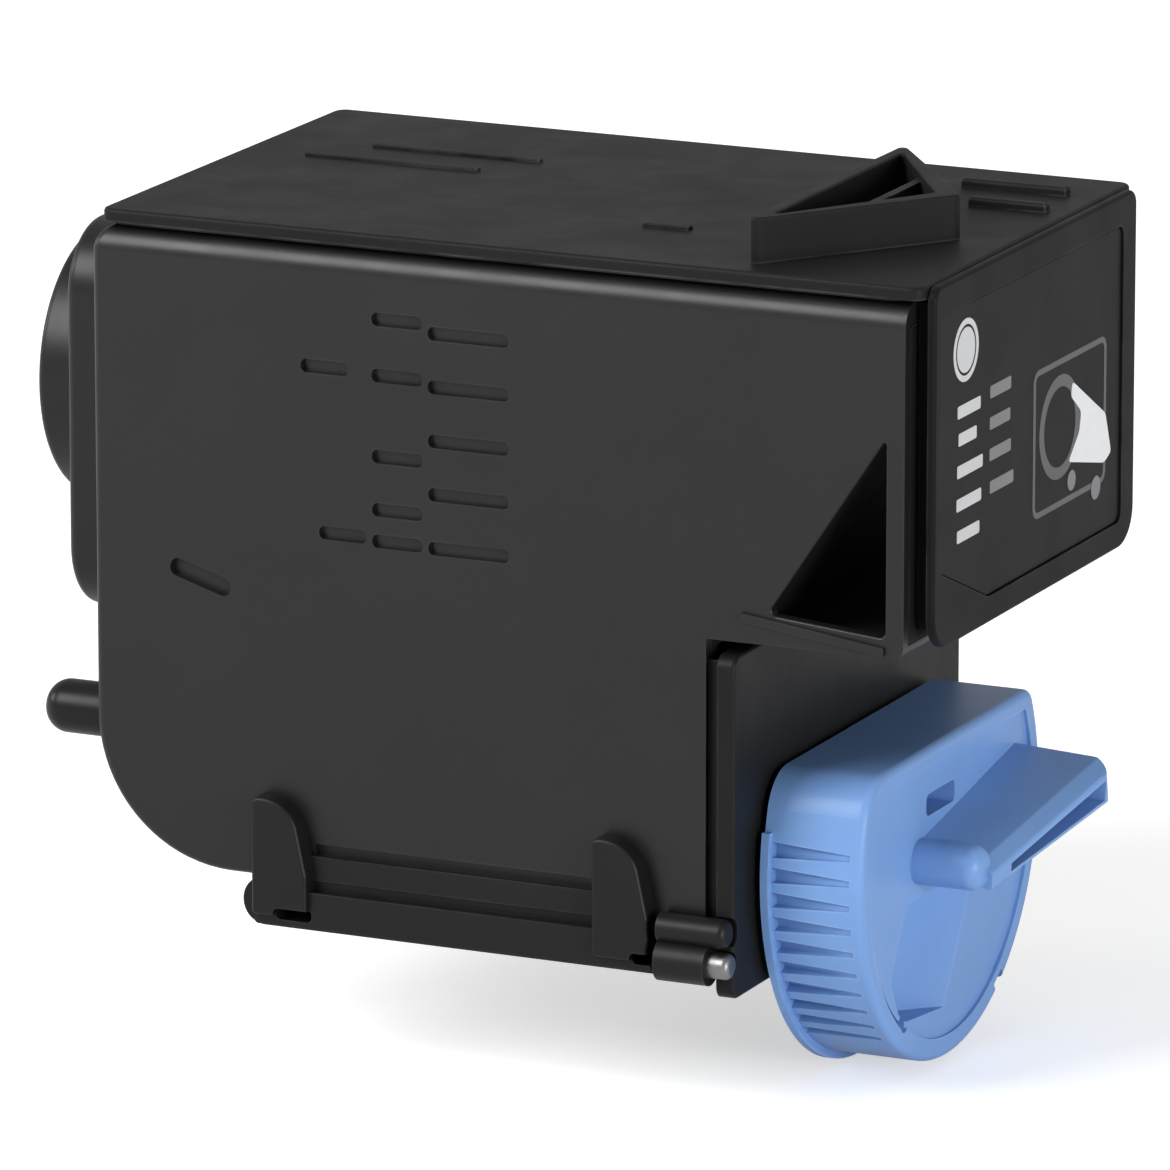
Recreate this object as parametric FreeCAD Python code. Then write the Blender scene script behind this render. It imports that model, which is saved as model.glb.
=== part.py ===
import FreeCAD, Part
import math
import os

# Toner cartridge for an office colour printer: a black moulded hopper with a welded lid, a gear
# cover at the rear, an outlet frame with a sliding shutter underneath, an overhanging head that
# carries the label panel, and a blue grip knob that opens the shutter.
# X runs from the drive end to the knob end, Y to the side away from the moulded marks, Z up.
# The origin is on the outlet frame's underside, the face that rests in the machine.
# All sizes are millimetres.

far = 400.0
cut = 1.0

# Hopper
body_width = 101.0
half_width = body_width / 2.0
wall = 2.2
hopper_rear = -74.8
hopper_floor = 9.0
rim_height = 127.0
rear_round = 27.0
lower_front = 47.0
bulkhead_x = 34.0
bulkhead_round = 4.0
rim_round = 4.6
edge_round = 1.6
rim_ledge = 6.5
ledge_depth = 4.0

# Head that overhangs the knob, with its two open side windows
head_front = 85.0
head_height = 64.0
head_floor = rim_height - head_height
head_corner = 2.0
slope_foot_rise = 5.7
slope_drop = 25.3
slope_foot = (58.6, head_floor + slope_foot_rise)
slope_top = (80.5, rim_height - slope_drop)
slope_knee = 2.6
window_post = 3.6
window_rail = 3.6
window_fall = 2.0
window_lip = 0.3
window_corner = 1.0
window_apex = 0.3
window_edge = 0.5
sill_reach = 4.7
sill_proud = 0.7
sill_height = 1.6
sill_edge = 0.3

# Marks pressed into the near side: plain dashes in columns, and one slanted finger notch
mark_height = 2.5
mark_depth = 1.2
mark_columns = (
    (0.5, 16.0, (13.7, 23.5, 33.4, 43.2, 53.1)),
    (-13.6, 10.1, (12.1, 22.4, 37.3, 47.1, 52.9)),
    (-28.0, 9.5, (21.9,)),
    (-24.5, 9.5, (52.4,)))
mark_end = 0.45
notch_length = 12.6
notch_height = 3.4
notch_depth = 1.5
notch_setback = 21.6
notch_drop = 63.2
notch_slope = 17.0

# Lid, with the triangular guide that steers the cartridge in the machine
lid_thick = 3.0
lid_seam = 0.6
lid_inset = 1.2
lid_groove = 1.3
lid_gap = 0.3
lid_corner = 2.5
lid_edge = 0.8
lid_plug = 2.4
guide_height = 8.2
guide_wall = 2.6
guide_floor = 1.5
guide_base_x = 51.5
guide_tip = (78.0, -9.0)
guide_near = -45.0
guide_far = 27.0
guide_rib_x = 11.0
guide_rib = 1.6
guide_corner = 1.2
guide_nose = 2.0
guide_edge = 0.5
guide_slant = 2.6
guide_point = 1.9
lid_ribs = (
    (60.5, 81.0, 33.5, 2.4, 1.6), (68.0, 83.0, 19.0, 2.4, 1.6),
    (-60.0, -25.0, 8.0, 1.6, 0.6), (-52.0, -18.0, 20.0, 1.6, 0.6),
    (22.0, 31.0, -22.0, 2.0, 0.7))
rib_round = 0.45

# Label panel on the head
lid_top = rim_height + lid_thick
panel_depth = 4.2
panel_front = head_front + panel_depth
panel_inset = 3.6
panel_half = half_width - panel_inset
panel_neck_inset = 2.6
panel_low = head_floor + 0.6
panel_high = rim_height + panel_neck_inset
panel_low_corner = 7.0
panel_high_corner = 2.8
panel_flange = 1.5
panel_skin = 1.8
panel_tongue = 1.8
panel_edge = 0.7
label_recess = 0.7
label_thick = 0.3
label_margins = (2.8, 6.4, 5.0, 5.6)
label_chamfer = (22.0, 9.0)
label_corner = 2.0

# Lower front end plate
plate_face = 53.0
plate_flange = 3.4
plate_half = half_width + 1.0
plate_low = -3.0
plate_high = head_floor - 2.7
plate_corner = 2.5
plate_edge = 0.7
plate_shoulder_inset = 1.4
plate_screw_y = 30.0
spigot_depth = 2.6
spigot_gap = 0.15

# Knob
knob_z = 17.5
knob_radius = 41.5
knob_flat = 18.7
knob_back = 54.3
knob_face = 73.6
knob_wall = 2.6
knob_near_round = 9.0
knob_far_round = 3.0
knob_edge = 1.6
knob_flange_radius = 43.0
knob_flange_thick = 1.5
knob_flange_top = 8.5
knob_web = 14.0
knob_hub = 12.0
knob_shaft = 8.0
knob_angle = 90.0
dish_radius = 37.3
dish_depth = 0.7
ring_width = 1.2
ring_depth = 1.3
ring_start = 188.0
ring_end = 234.0
grip_grooves = 10
grip_pitch = 6.4
grip_start = 172.6
grip_wide = 2.9
grip_narrow = 1.1
grip_deep = 2.2
grip_shallow = 0.25
grip_end_gap = 2.6
slot_length = 13.2
slot_height = 4.1
slot_depth = 8.0
slot_place = (-4.4, 7.9)
pocket_region = (
    (-19.5, -8.4, 1.5), (-27.0, -21.0, 3.0), (-22.0, -30.0, 6.0), (8.0, -33.0, 8.0),
    (24.0, -14.0, 5.0), (21.0, -8.4, 1.5))
scoop_radius = 30.0
scoop_depth = 9.0
scoop_place = (-13.9, -11.6)
scoop_slant = 31.7
rim_notch_angle = -56.4
rim_notch_width = 4.0
rim_notch_depth = 2.6

# Grip wing on the knob's face: a hollow wedge, cored out from its outer side. Its nose and far
# sections are each given by ridge, brow and chin, as distance from the face and from the middle.
wing_start = (-14.4, 1.0)
wing_tilt = 9.5
wing_length = 45.5
wing_nose = ((11.0, -1.6), (13.6, -3.4), (13.2, -7.0))
wing_far = ((15.8, 0.4), (19.0, -1.3), (18.2, -8.0))
wing_top = 1.5
wing_under = -3.0
wing_sink = 3.0
wing_round = 0.8
wing_corner = 4.0
wing_margin = 0.2
wing_skin = 1.1
core_depth = 7.0
core_start = 7.0
core_end = 42.5
nose_radius = 4.2
nose_drop = 2.6
nose_reach = 12.4
nose_round = 2.8

# Bush, pinion and rack
shaft_play = 0.06
bush_wall = 2.0
bush_lip = 0.6
pinion_teeth = 16
rack_module = 1.5
rack_addendum = 0.8
pinion_width = 6.0
pinion_bore = 5.0
pinion_gap = 1.6
screw_head = 3.0
screw_shank = 1.5
screw_gap = 0.25
screw_spare = 0.5
head_share = 0.6
head_round = 0.45
slot_share = 0.13
hold_head = 5.6
hold_thick = 1.2
hold_shank = 2.0
hold_length = 9.0

# Outlet frame with its skirts and hooked arms, shutter and seal
frame_half_length = 45.0
frame_front = lower_front - 0.4
frame_wall = 2.5
frame_side = 4.5
frame_floor = 2.0
frame_nose = 4.4
frame_edge = 1.0
skirt_low = 2.8
skirt_ledge = 9.8
skirt_groove = 1.9
skirt_web = 0.6
skirt_high = 1.2
skirt_top = hopper_floor + 5.4
rail_groove = 1.2
rail_height = 2.0
skirt_low_z = 1.0
skirt_high_z = 2.0
skirt_edge = 0.8
arm_thick = 4.2
arm_low = 3.0
arm_heel = 2.0
arm_crown = 0.72
arm_sweep = 7.0
arm_tip = 1.5
arm_top = hopper_floor + 16.0
arm_width = 11.0
arm_edge = 0.7
arm_places = (3.6, 71.4)
drain_places = (11.5, 82.5)
drain_size = (7.2, 2.4)
drain_low = frame_floor + 0.2
collar_reach = 2.6
collar_wall = 1.5
boss_radius = 2.7
boss_z = 9.7
boss_shy = 0.2
dome = 0.5
stud_radius = 2.4
stud_z = 3.8
stud_seat = 3.6
stud_gap = 0.4
stud_proud = 0.4
shutter_gap = 0.3
shutter_thick = 2.0
shutter_near = -24.0
shutter_corner = 2.0
shutter_margin = 8.0
outlet_inset = 7.0
outlet_length = 30.0
outlet_x0 = -frame_half_length + outlet_inset
outlet_x1 = outlet_x0 + outlet_length
outlet_width = 10.0
seal_margin = 4.0
seal_corner = 3.0

# Gears, bushes and shafts of the drive
gear_module = 1.0
drive_teeth = 20
agitator_teeth = 28
gear_width = 6.0
gear_gap = 0.6
backlash = 0.16
drive_drop = 37.0
drive_z = rim_height - drive_drop
agitator_z = drive_z - gear_module * (drive_teeth + agitator_teeth) / 2.0
drive_shaft = 4.0
agitator_shaft = 3.0
boss_wall = 2.5
rear_boss = 4.0
front_boss = 3.0
bush_flange = 1.2
bush_reach = 4.2
bush_skin = 0.8
felt_thick = 1.8

# Gear cover and the coupling in its drum
cover_depth = 14.0
cover_half = 34.0
cover_below = 41.0
cover_above = 32.0
cover_corner = 13.0
cover_wall = 2.0
cover_edge = 1.8
drum_radius = 25.5
drum_depth = 24.5
drum_edge = 1.5
ear_radius = 5.0
ear_thick = 2.4
ear_reach = 3.2
ear_spread = 20.0
cover_screw_bite = 6.5
screw_boss = 2.0
coupling_radius = 13.0
coupling_depth = 5.4
coupling_rim = 2.2
coupling_floor = 1.8
coupling_gap = 0.4
coupling_neck = 8.0
dog_inner = 4.0
dog_half = (1.8, 2.4)
jaws = 3

# Agitator
agitator_rear_gap = 8.8
agitator_front_gap = 5.0
agitator_rear = hopper_rear + agitator_rear_gap
agitator_front = bulkhead_x - agitator_front_gap
hub_wall = 1.8
paddle_radius = 20.0
paddle_bar = 6.0
paddle_thick = 2.2
spoke_width = 3.0
spokes = 5
tail_radius = 12.0
sheet_gap = 6.5
sheet_radius = half_width - sheet_gap
sheet_thick = 0.4
sheet_lap = 5.0
slits = 4
slit_width = 1.2

# Locating pin and filling plug
pin_radius = 5.0
pin_reach = 14.8
pin_nose = 4.3
pin_stem = 1.4
pin_pad = 1.6
pin_pad_depth = 6.0
pin_inset = 10.5
pin_y = -half_width + pin_inset
pin_z = 33.8
plug_radius = 11.0
plug_lip = 2.5
plug_proud = 1.6
plug_depth = 3.0
plug_wall = 2.0
plug_dimple = 0.8
plug_edge = 0.7
plug_setback = 22.0
plug_drop = 31.0

plug_x = bulkhead_x - plug_setback
plug_z = rim_height - plug_drop
cover_low = drive_z - cover_below
cover_high = drive_z + cover_above
pitch_drop = pinion_teeth * rack_module / 2.0
rack_line = knob_z - pitch_drop
shutter_travel = math.radians(knob_angle) * pitch_drop
pinion_x = bulkhead_x + wall + pinion_gap
gear_x = hopper_rear - cover_depth + cover_wall + gear_gap
drum_end = hopper_rear - drum_depth
bush_radius = agitator_shaft + bush_wall
knob_bush_radius = knob_shaft + bush_wall
shutter_low = frame_floor + shutter_gap
shutter_high = shutter_low + shutter_thick
stud_y = -half_width - stud_radius
inside = half_width - wall


def vec(x, y, z):
    return FreeCAD.Vector(x, y, z)


def block(x0, x1, y0, y1, z0, z1):
    return Part.makeBox(x1 - x0, y1 - y0, z1 - z0, vec(x0, y0, z0))


def rod(radius, x0, x1, y=0.0, z=0.0):
    """A round bar along X."""
    return Part.makeCylinder(radius, x1 - x0, vec(x0, y, z), vec(1, 0, 0))


def across(radius, y0, y1, x, z):
    """A round bar along Y."""
    return Part.makeCylinder(radius, y1 - y0, vec(x, y0, z), vec(0, 1, 0))


def outline(corners, place):
    """A closed wire through corners (u, v, radius), each corner rounded by a tangent arc."""
    stops = []
    count = len(corners)
    for i in range(count):
        u, v, radius = corners[i]
        before = corners[i - 1]
        after = corners[(i + 1) % count]
        a = vec(before[0] - u, before[1] - v, 0).normalize()
        b = vec(after[0] - u, after[1] - v, 0).normalize()
        here = vec(u, v, 0)
        if radius <= 0:
            stops.append((here, None, here))
            continue
        half = a.getAngle(b) / 2.0
        reach = radius / math.tan(half)
        middle = (a + b).normalize()
        centre = here + middle * (radius / math.sin(half))
        stops.append((here + a * reach, centre - middle * radius, here + b * reach))
    edges = []
    for i in range(count):
        start, mid, end = stops[i]
        if mid is not None:
            edges.append(Part.Arc(place(start), place(mid), place(end)).toShape())
        following = stops[(i + 1) % count][0]
        if (following - end).Length > 1e-6:
            edges.append(Part.LineSegment(place(end), place(following)).toShape())
    return Part.Wire(edges)


def slab_y(corners, y0, y1):
    """A side view outline (x, z, radius) given thickness across the part."""
    wire = outline(corners, lambda p: vec(p.x, y0, p.y))
    return Part.Face(wire).extrude(vec(0, y1 - y0, 0))


def slab_x(corners, x0, x1):
    """A front view outline (y, z, radius) given depth along the part."""
    wire = outline(corners, lambda p: vec(x0, p.x, p.y))
    return Part.Face(wire).extrude(vec(x1 - x0, 0, 0))


def slab_z(corners, z0, z1):
    """A plan outline (x, y, radius) given height."""
    wire = outline(corners, lambda p: vec(p.x, p.y, z0))
    return Part.Face(wire).extrude(vec(0, 0, z1 - z0))


def rectangle(u0, u1, v0, v1, radius=0.0):
    return [(u0, v0, radius), (u1, v0, radius), (u1, v1, radius), (u0, v1, radius)]


def rounded(shape, radius, chosen):
    """Rounds the edges whose two ends and middle all satisfy the test."""
    edges = []
    for edge in shape.Edges:
        points = [v.Point for v in edge.Vertexes]
        points.append(edge.valueAt((edge.FirstParameter + edge.LastParameter) / 2.0))
        if all(chosen(p) for p in points):
            edges.append(edge)
    return shape.makeFillet(radius, edges)


def near(a, b, tolerance=0.01):
    return abs(a - b) < tolerance


def turned(shape, degrees, y=0.0, z=0.0):
    """A copy turned about an axis along X through (y, z)."""
    copy = shape.copy()
    copy.rotate(vec(0, y, z), vec(1, 0, 0), degrees)
    return copy


def moved(shape, x=0.0, y=0.0, z=0.0):
    copy = shape.copy()
    copy.translate(vec(x, y, z))
    return copy


def facing_rear(shape):
    """A copy turned half round about Z, so that what pointed to +X points to -X."""
    copy = shape.copy()
    copy.rotate(vec(0, 0, 0), vec(0, 0, 1), 180)
    return copy


def involute_gear(teeth, module, width, half_tooth=False):
    """A spur gear along X about the origin, its first tooth on +Y, or its first gap."""
    pressure = math.radians(20)
    pitch = teeth * module / 2.0
    base = pitch * math.cos(pressure)
    tip = pitch + module
    root = pitch - 1.25 * module
    start = max(base, root)
    thick = math.pi / (2 * teeth) - backlash / (2 * pitch)
    spread = math.tan(pressure) - pressure
    turn = math.pi / teeth if half_tooth else 0.0
    steps = 4
    flank = []
    for i in range(steps):
        radius = start + (tip - start) * i / (steps - 1)
        angle = math.acos(min(1.0, base / radius))
        flank.append((radius, thick + spread - (math.tan(angle) - angle)))
    points = []
    for tooth in range(teeth):
        middle = turn + 2 * math.pi * tooth / teeth
        points.append((root, middle - flank[0][1]))
        points.extend((radius, middle - half) for radius, half in flank)
        points.extend((radius, middle + half) for radius, half in reversed(flank))
        points.append((root, middle + flank[0][1]))
    ring = [vec(0, r * math.cos(a), r * math.sin(a)) for r, a in points]
    return Part.Face(Part.makePolygon(ring + ring[:1])).extrude(vec(width, 0, 0))


def screw(head_radius, head_thick, shank, length):
    """A cross-slotted pan-head screw along -X with its head's underside at the origin."""
    head = rod(head_radius, 0, head_thick)
    head = rounded(head, head_round * head_thick, lambda p: near(p.x, head_thick))
    reach = head_share * head_radius
    breadth = slot_share * head_radius
    slot = block(head_thick / 2, head_thick + cut, -reach, reach, -breadth, breadth)
    return head.cut(slot).cut(turned(slot, 90)).fuse(rod(shank, -length, 0))


def slope_x(z, offset=0.0):
    """Where the hopper's slanted front wall stands at a height, moved back by an offset."""
    run = slope_top[0] - slope_foot[0]
    rise = slope_top[1] - slope_foot[1]
    along = math.hypot(run, rise)
    return slope_foot[0] + (z - slope_foot[1]) * run / rise - offset * along / rise


def cover_screw_places():
    y = cover_half + ear_reach
    return [(side * y, z) for side in (-1, 1)
            for z in (drive_z - ear_spread, drive_z + ear_spread)]


def plate_screw_places():
    return (-plate_screw_y, plate_screw_y)


def knee_height():
    return slope_top[1] + slope_knee


def pressed_mark(x, z, length, height, depth, slope=0.0):
    """A flat-bottomed mark with round ends, to be cut from the near side."""
    tool = slab_y(rectangle(x - length / 2, x + length / 2, z - height / 2, z + height / 2,
                            mark_end * height), -half_width - cut, -half_width + depth)
    tool.rotate(vec(x, 0, z), vec(0, 1, 0), slope)
    return tool


def hopper_shell():
    """The moulding's outer form with its toner space, gear space and open head."""
    outer = slab_y([
        (hopper_rear, rim_height, 0), (hopper_rear, hopper_floor, rear_round),
        (lower_front, hopper_floor, 0), (lower_front, head_floor, 0),
        (head_front, head_floor, head_corner), (head_front, rim_height, 0)],
        -half_width, half_width)
    outer = rounded(outer, rim_round, lambda p: near(p.z, rim_height) and (
        near(abs(p.y), half_width) or near(p.x, hopper_rear)))
    outer = rounded(outer, edge_round, lambda p: near(abs(p.y), half_width)
                    and p.z < rim_height - rim_round + 0.01 and p.x < lower_front + 0.01
                    and not (near(p.x, lower_front) and p.z > hopper_floor + cut))
    outer = outer.fuse(rod(pin_radius + pin_pad, hopper_rear, hopper_rear + pin_pad_depth,
                           pin_y, pin_z))

    knee = knee_height()
    under_rim = rim_height - ledge_depth
    floor_top = hopper_floor + wall
    shelf_top = head_floor + wall
    cavity = slab_y([
        (hopper_rear + wall, under_rim, 0), (hopper_rear + wall, floor_top, rear_round - wall),
        (bulkhead_x, floor_top, bulkhead_round), (bulkhead_x, shelf_top, 0),
        (slope_x(shelf_top, wall), shelf_top, 0), (slope_x(knee, wall), knee, 0),
        (slope_x(knee, wall), under_rim, 0)], -inside, inside)
    opening = block(hopper_rear + rim_ledge, slope_x(knee, wall) - wall,
                    -half_width + rim_ledge, half_width - rim_ledge,
                    under_rim - cut, rim_height + cut)
    gear_space = block(bulkhead_x + wall, lower_front + cut, -inside, inside,
                       floor_top, head_floor)
    head_space = slab_y([
        (slope_x(shelf_top), shelf_top, 0), (far, shelf_top, 0), (far, under_rim, 0),
        (slope_x(knee), under_rim, 0), (slope_x(knee), knee, 0)], -inside, inside)
    return outer.cut(cavity.fuse(opening)).cut(gear_space).cut(head_space)


def cut_windows(body):
    """The triangular windows in the head's two sides, each with a sill below it."""
    low = head_floor + window_rail
    front = head_front - window_post
    corner = low + window_fall
    body = body.cut(slab_y([
        (slope_x(corner, -window_lip), corner, window_corner), (front, low, window_corner),
        (front, slope_x_height(front, -window_lip), window_apex)], -far, far))
    body = rounded(body, window_edge, lambda p: near(abs(p.y), half_width)
                   and slope_foot[0] - cut < p.x < front + 0.01
                   and low - 0.01 < p.z < slope_top[1] + cut)
    for y0, y1 in ((-half_width - sill_proud, -half_width), (half_width, half_width + sill_proud)):
        sill = slab_y([
            (slope_foot[0] - sill_reach, corner - sill_height, sill_edge),
            (front, low - 2 * sill_height, sill_edge), (front, low - sill_height, sill_edge),
            (slope_foot[0] - sill_reach, corner, sill_edge)], y0, y1)
        body = body.fuse(sill)
    return body


def slope_x_height(x, offset):
    """The height at which the slanted wall, moved back by an offset, reaches x."""
    run = slope_top[0] - slope_foot[0]
    rise = slope_top[1] - slope_foot[1]
    return slope_foot[1] + (x - slope_foot[0]) * rise / run + offset * math.hypot(run, rise) / run


def make_hopper():
    """The one-piece moulding, with its openings, bearing bosses, screw seats and marks."""
    body = cut_windows(hopper_shell())

    # Outlet slot in the floor, and the gap where the knob's pinion reaches the rack.
    body = body.cut(block(outlet_x0, outlet_x1, -outlet_width / 2, outlet_width / 2,
                          hopper_floor - cut, hopper_floor + wall + cut))
    pinion_reach = pitch_drop + 1.5 * rack_module
    body = body.cut(block(pinion_x - pinion_gap / 2, lower_front + cut, -pinion_reach,
                          pinion_reach, hopper_floor - cut, hopper_floor + wall + cut))

    # Bearings of the two drive shafts, filling hole, and the seats of the pin and the screws.
    wall_in = hopper_rear + wall
    body = body.fuse(rod(drive_shaft + boss_wall, hopper_rear - boss_wall, wall_in, 0, drive_z))
    body = body.cut(rod(drive_shaft + shaft_play, hopper_rear - boss_wall - cut,
                        hopper_rear + cut, 0, drive_z))
    body = body.fuse(rod(bush_radius + boss_wall, hopper_rear, wall_in + rear_boss,
                         0, agitator_z))
    body = body.cut(rod(bush_radius, hopper_rear - cut, wall_in + rear_boss + cut,
                        0, agitator_z))
    bearing = rod(bush_radius + boss_wall, bulkhead_x - front_boss, bulkhead_x + wall,
                  0, agitator_z)
    above_shelf = block(-far, far, -far, far, head_floor + wall, far)
    behind_bulkhead = block(-far, bulkhead_x, -far, far, -far, far)
    body = body.fuse(bearing.common(above_shelf)).fuse(bearing.common(behind_bulkhead))
    body = body.cut(rod(bush_radius, bulkhead_x - front_boss - cut,
                        bulkhead_x + bush_reach - front_boss - bush_lip, 0, agitator_z))
    body = body.cut(across(plug_radius, inside - cut, half_width + cut, plug_x, plug_z))
    body = body.cut(rod(pin_radius - pin_stem, hopper_rear - cut, wall_in + cut, pin_y, pin_z))
    seat_end = hopper_rear + cover_screw_bite + wall
    for y, z in cover_screw_places():
        body = body.fuse(rod(screw_shank + screw_boss, hopper_rear, seat_end, y, z))
        body = body.cut(rod(screw_shank, hopper_rear - cut, hopper_rear + cover_screw_bite, y, z))
    seat_end = lower_front - spigot_depth
    for y in plate_screw_places():
        body = body.fuse(rod(screw_shank + screw_boss, bulkhead_x + wall, seat_end, y, knob_z))
        body = body.cut(rod(screw_shank, bulkhead_x + wall + cut, seat_end + cut, y, knob_z))

    for x, length, drops in mark_columns:
        for drop in drops:
            body = body.cut(pressed_mark(x, rim_height - drop, length, mark_height, mark_depth))
    body = body.cut(pressed_mark(hopper_rear + notch_setback, rim_height - notch_drop,
                                 notch_length, notch_height, notch_depth, notch_slope))

    # Shallow grooves along both sides, just above the outlet frame's skirts.
    for y0, y1 in ((-half_width - cut, -half_width + rail_groove),
                   (half_width - rail_groove, half_width + cut)):
        body = body.cut(block(arm_x(0) + arm_width, arm_x(1), y0, y1,
                              skirt_top, skirt_top + rail_height))
    return body.removeSplitter()


def make_lid():
    """The welded lid: a plate over a recessed seam, a locating plug, the guide and the ribs."""
    x1 = panel_front - panel_flange - lid_gap
    y = half_width - lid_inset
    plate = slab_z(rectangle(hopper_rear + lid_inset, x1, -y, y, lid_corner),
                   rim_height + lid_seam, lid_top)
    plate = rounded(plate, lid_edge, lambda p: near(p.z, lid_top))
    seam_y = y - lid_groove
    seam = slab_z(rectangle(hopper_rear + lid_inset + lid_groove, head_front - wall,
                            -seam_y, seam_y, lid_corner), rim_height, rim_height + lid_seam)
    plug_y = half_width - rim_ledge - spigot_gap
    plug = block(hopper_rear + rim_ledge + spigot_gap,
                 slope_x(knee_height(), wall) - wall - spigot_gap,
                 -plug_y, plug_y, rim_height - lid_plug, rim_height)
    lid = plate.fuse(seam).fuse(plug)

    tip_x, tip_y = guide_tip
    top = lid_top + guide_height
    guide = slab_z([(guide_base_x, guide_near, guide_corner), (tip_x, tip_y, guide_nose),
                    (guide_base_x, guide_far, guide_corner)], lid_top - lid_edge, top)
    side_gap = guide_slant * guide_wall
    pocket_floor = lid_top + guide_floor
    pocket = slab_z([(guide_base_x + guide_wall, guide_near + side_gap, guide_edge),
                     (tip_x - guide_point * guide_wall, tip_y, guide_edge),
                     (guide_base_x + guide_wall, guide_far - side_gap, guide_edge)],
                    pocket_floor, top + cut)
    rib_x0 = guide_base_x + guide_rib_x
    cross_rib = block(rib_x0, rib_x0 + guide_rib, guide_near, guide_far,
                      pocket_floor, top - guide_rib)
    guide = guide.cut(pocket.cut(cross_rib))
    lid = lid.fuse(rounded(guide, guide_edge, lambda p: near(p.z, top)))

    for rib_x0, rib_x1, rib_y, width, height in lid_ribs:
        rib_top = lid_top + height
        rib = block(rib_x0, rib_x1, rib_y - width / 2, rib_y + width / 2,
                    lid_top - lid_edge, rib_top)
        lid = lid.fuse(rounded(rib, height * rib_round, lambda p: near(p.z, rib_top)))
    return lid.removeSplitter()


def panel_outline(inset):
    """The panel's front view, set in evenly, with larger corners below."""
    low = max(1.0, panel_low_corner - inset)
    high = max(1.0, panel_high_corner - inset)
    y = panel_half - inset
    return [(-y, panel_low + inset, low), (y, panel_low + inset, low),
            (y, panel_high - inset, high), (-y, panel_high - inset, high)]


def label_outline(gap=0.0):
    """The label's front view, with its lower near corner cut off at a slant."""
    near_side, far_side, below, above = label_margins
    y0 = -panel_half + near_side + gap
    y1 = panel_half - far_side - gap
    z0 = panel_low + below + gap
    z1 = panel_high - above - gap
    across_y, up_z = label_chamfer
    return [(y0, z0 + up_z, label_corner), (y0 + across_y, z0, 2 * label_corner),
            (y1, z0, label_corner), (y1, z1, label_corner), (y0, z1, label_corner)]


def make_panel():
    """The label panel: a flanged tray set in the head's open front."""
    flange_back = panel_front - panel_flange
    flange = slab_x(panel_outline(0), flange_back, panel_front)
    flange = rounded(flange, panel_edge, lambda p: near(p.x, panel_front))
    neck = slab_x(panel_outline(panel_neck_inset), head_front, flange_back)
    plug_half = inside - spigot_gap
    plug = slab_x(rectangle(-plug_half, plug_half, head_floor + wall + spigot_gap,
                            rim_height - ledge_depth - spigot_gap, panel_edge),
                  head_front - panel_tongue, head_front)
    hollow = slab_x(panel_outline(panel_neck_inset + 2 * wall), head_front - panel_tongue - cut,
                    panel_front - panel_skin)
    recess = slab_x(label_outline(), panel_front - label_recess, panel_front + cut)
    return flange.fuse(neck).fuse(plug).cut(hollow).cut(recess).removeSplitter()


def make_label():
    """The printed label, a thin sheet in the panel's recess."""
    seat = panel_front - label_recess
    return slab_x(label_outline(label_thick), seat, seat + label_thick)


def make_end_plate():
    """The lower front plate: it closes the gear space and carries the knob's bush."""
    flange_back = plate_face - plate_flange
    flange = slab_x(rectangle(-plate_half, plate_half, plate_low, plate_high, plate_corner),
                    flange_back, plate_face)
    flange = rounded(flange, plate_edge, lambda p: near(p.x, plate_face))
    inset = plate_shoulder_inset
    shoulder = block(lower_front, flange_back, -half_width + inset, half_width - inset,
                     hopper_floor + inset, plate_high - inset)
    side = inside - spigot_gap
    spigot_back = lower_front - spigot_depth
    spigot = block(spigot_back, lower_front, -side, side,
                   hopper_floor + wall + spigot_gap, head_floor - spigot_gap)
    relief = block(spigot_back - cut, lower_front, -side + wall, side - wall,
                   head_floor - 5 * wall, head_floor - wall)
    plate = flange.fuse(shoulder).fuse(spigot.cut(relief))
    plate = plate.fuse(rod(knob_bush_radius + boss_wall, lower_front, plate_face + bush_lip,
                           0, knob_z))
    plate = plate.cut(rod(knob_bush_radius, 0, far, 0, knob_z))
    for y in plate_screw_places():
        plate = plate.cut(rod(screw_shank + screw_gap, 0, far, y, knob_z))
        plate = plate.cut(rod(screw_head + screw_gap, plate_screw_seat(), far, y, knob_z))
    plate = plate.cut(rod(stud_radius + stud_gap, 0, far, stud_y, stud_z))
    plate = plate.cut(rod(boss_radius + stud_gap, 0, far, stud_y, boss_z))
    plate = plate.cut(rod(stud_radius + collar_wall + stud_gap, 0,
                          frame_front + collar_reach + stud_gap, stud_y, stud_z))
    return plate.removeSplitter()


def plate_screw_seat():
    return plate_face - 0.65 * plate_flange


def knob_body():
    """The knob's D-shaped drum with its flange, hollow from behind round the hub."""
    def at_rim(p):
        return near(p.z, knob_flat) and math.hypot(p.y, p.z) > knob_radius - 0.1

    drum = rod(knob_radius, knob_back, knob_face)
    drum = drum.common(block(-far, far, -far, far, -far, knob_flat))
    drum = rounded(drum, knob_near_round, lambda p: at_rim(p) and p.y < 0)
    drum = rounded(drum, knob_far_round, lambda p: at_rim(p) and p.y > 0)
    drum = rounded(drum, knob_edge, lambda p: near(p.x, knob_face))
    flange = rod(knob_flange_radius, knob_back, knob_back + knob_flange_thick)
    flange = flange.common(block(-far, far, -far, far, -far, knob_flange_top))
    cavity = rod(knob_radius - knob_wall - grip_deep, knob_back - cut, knob_face - knob_web)
    cavity = cavity.common(block(-far, far, -far, far, -far, knob_flat - knob_wall))
    return drum.fuse(flange).cut(cavity.cut(rod(knob_hub, 0, far)))


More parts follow.
